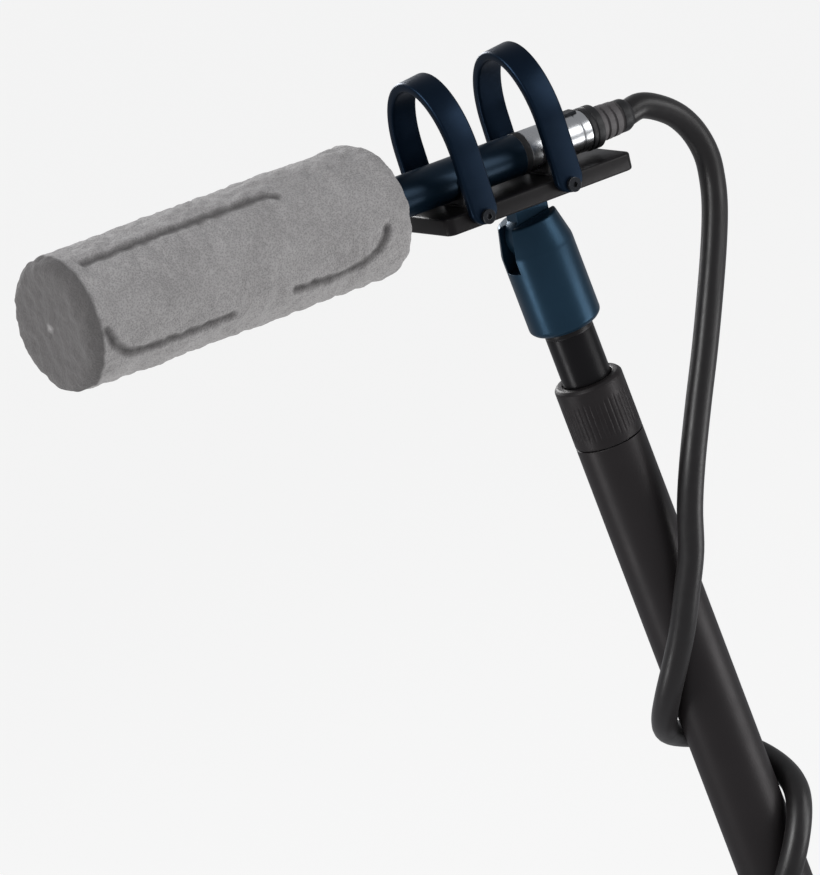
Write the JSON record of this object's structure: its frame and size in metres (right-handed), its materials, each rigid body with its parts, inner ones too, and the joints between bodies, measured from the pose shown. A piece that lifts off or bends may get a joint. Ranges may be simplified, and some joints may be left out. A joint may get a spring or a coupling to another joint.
{
  "type": "boom pole",
  "caption": "Telescoping boom pole with a twist clutch, tilting hooped cradle, shotgun microphone, foam windscreen and cable wrapped down the pole.",
  "frame": {"origin": "on the pole's axis at the hand grip, 310 mm below the outer tube's mouth", "axes": "+Z along the pole towards its tip; the microphone points to -X and its cable leaves to +X; the cradle is stored 9.5 degrees nose up"},
  "size_m": [0.3542, 0.0888, 0.7948],
  "materials": {
    "pole_black": "satin black hard-anodised tube",
    "tube_black": "polished black anodised tube",
    "dark_anodised": "matt black anodised",
    "bar_black": "satin black anodised plate",
    "bare_aluminium": "turned aluminium",
    "navy_anodised": "deep navy anodised, satin",
    "hoop_navy": "deep navy coated band",
    "mic_navy": "deep navy satin paint",
    "nickel_shell": "satin nickel plate",
    "dark_steel": "blackened steel",
    "screw_steel": "stainless steel",
    "capsule_brass": "brass capsule housing",
    "contact_gold": "gold-plated contacts",
    "board_green": "glass-fibre circuit board",
    "bearing_nylon": "natural nylon",
    "black_plastic": "moulded black plastic",
    "black_rubber": "moulded black rubber",
    "boot_grey": "dark grey rubber",
    "cable_jacket": "matt dark grey cable jacket",
    "strap_black": "woven hook-and-loop strap",
    "grey_foam": "open-cell grey foam"
  },
  "bodies": {
    "pole": {"outer_tube": "pole_black", "clutch_sleeve": "bare_aluminium", "clutch_collet": "bearing_nylon", "butt_plug": "dark_anodised", "butt_foot": "black_rubber", "butt_screw": "screw_steel", "cable_lower": "cable_jacket", "cable_hank": "cable_jacket", "cable_tail": "cable_jacket", "cable_straps": "strap_black", "end_plug_boot": "black_rubber", "end_plug_shell": "nickel_shell", "end_plug_insert": "contact_gold"},
    "collar": {"clutch_collar": "pole_black"},
    "extension": {"inner_tube": "tube_black", "guide_bush": "bearing_nylon", "tip_plug": "bare_aluminium", "tip_stud": "screw_steel", "stem_adapter": "navy_anodised", "tilt_bolt": "dark_steel", "tilt_washers": "bearing_nylon", "cable_upper": "cable_jacket"},
    "cradle": {"tilt_lug": "navy_anodised", "lug_screws": "screw_steel", "base_bar": "bar_black", "hoop_front": "hoop_navy", "hoop_rear": "hoop_navy", "hoop_screws": "dark_steel", "clip_front": "black_rubber", "clip_rear": "black_rubber", "clip_isolators": "black_rubber", "clip_screws": "screw_steel", "mic_tube": "mic_navy", "mic_front_cap": "dark_anodised", "mic_capsule": "capsule_brass", "mic_board": "board_green", "mic_rear_ring": "black_plastic", "mic_pins": "contact_gold", "plug_shell": "nickel_shell", "plug_insert": "black_plastic", "plug_ring": "black_plastic", "plug_boot": "boot_grey", "boot_ring": "black_rubber", "latch_spring": "screw_steel"},
    "latch": {"latch_button": "black_plastic"},
    "foam": {"windscreen": "grey_foam"}
  },
  "joints": [
    {"name": "clutch_twist", "type": "hinge", "parent": "pole", "child": "collar", "pos_m": [0, 0, 0.295], "axis": [0, 0, 1], "range_deg": [0, 60]},
    {"name": "tube_slide", "type": "slide", "parent": "pole", "child": "extension", "axis": [0, 0, 1], "range_m": [0, 0.4], "deforming": ["cable_lower"]},
    {"name": "head_tilt", "type": "hinge", "parent": "extension", "child": "cradle", "pos_m": [0, 0, 0.383], "axis": [0, 1, 0], "range_deg": [-40, 35], "deforming": ["cable_upper"]},
    {"name": "windscreen_slide", "type": "slide", "parent": "cradle", "child": "foam", "axis": [-0.9863, 0, 0.165], "range_m": [0, 0.18]},
    {"name": "latch_press", "type": "slide", "parent": "cradle", "child": "latch", "axis": [-0.165, 0, -0.9863], "range_m": [0, 0.0012], "stiffness_N_per_m": 400}
  ]
}
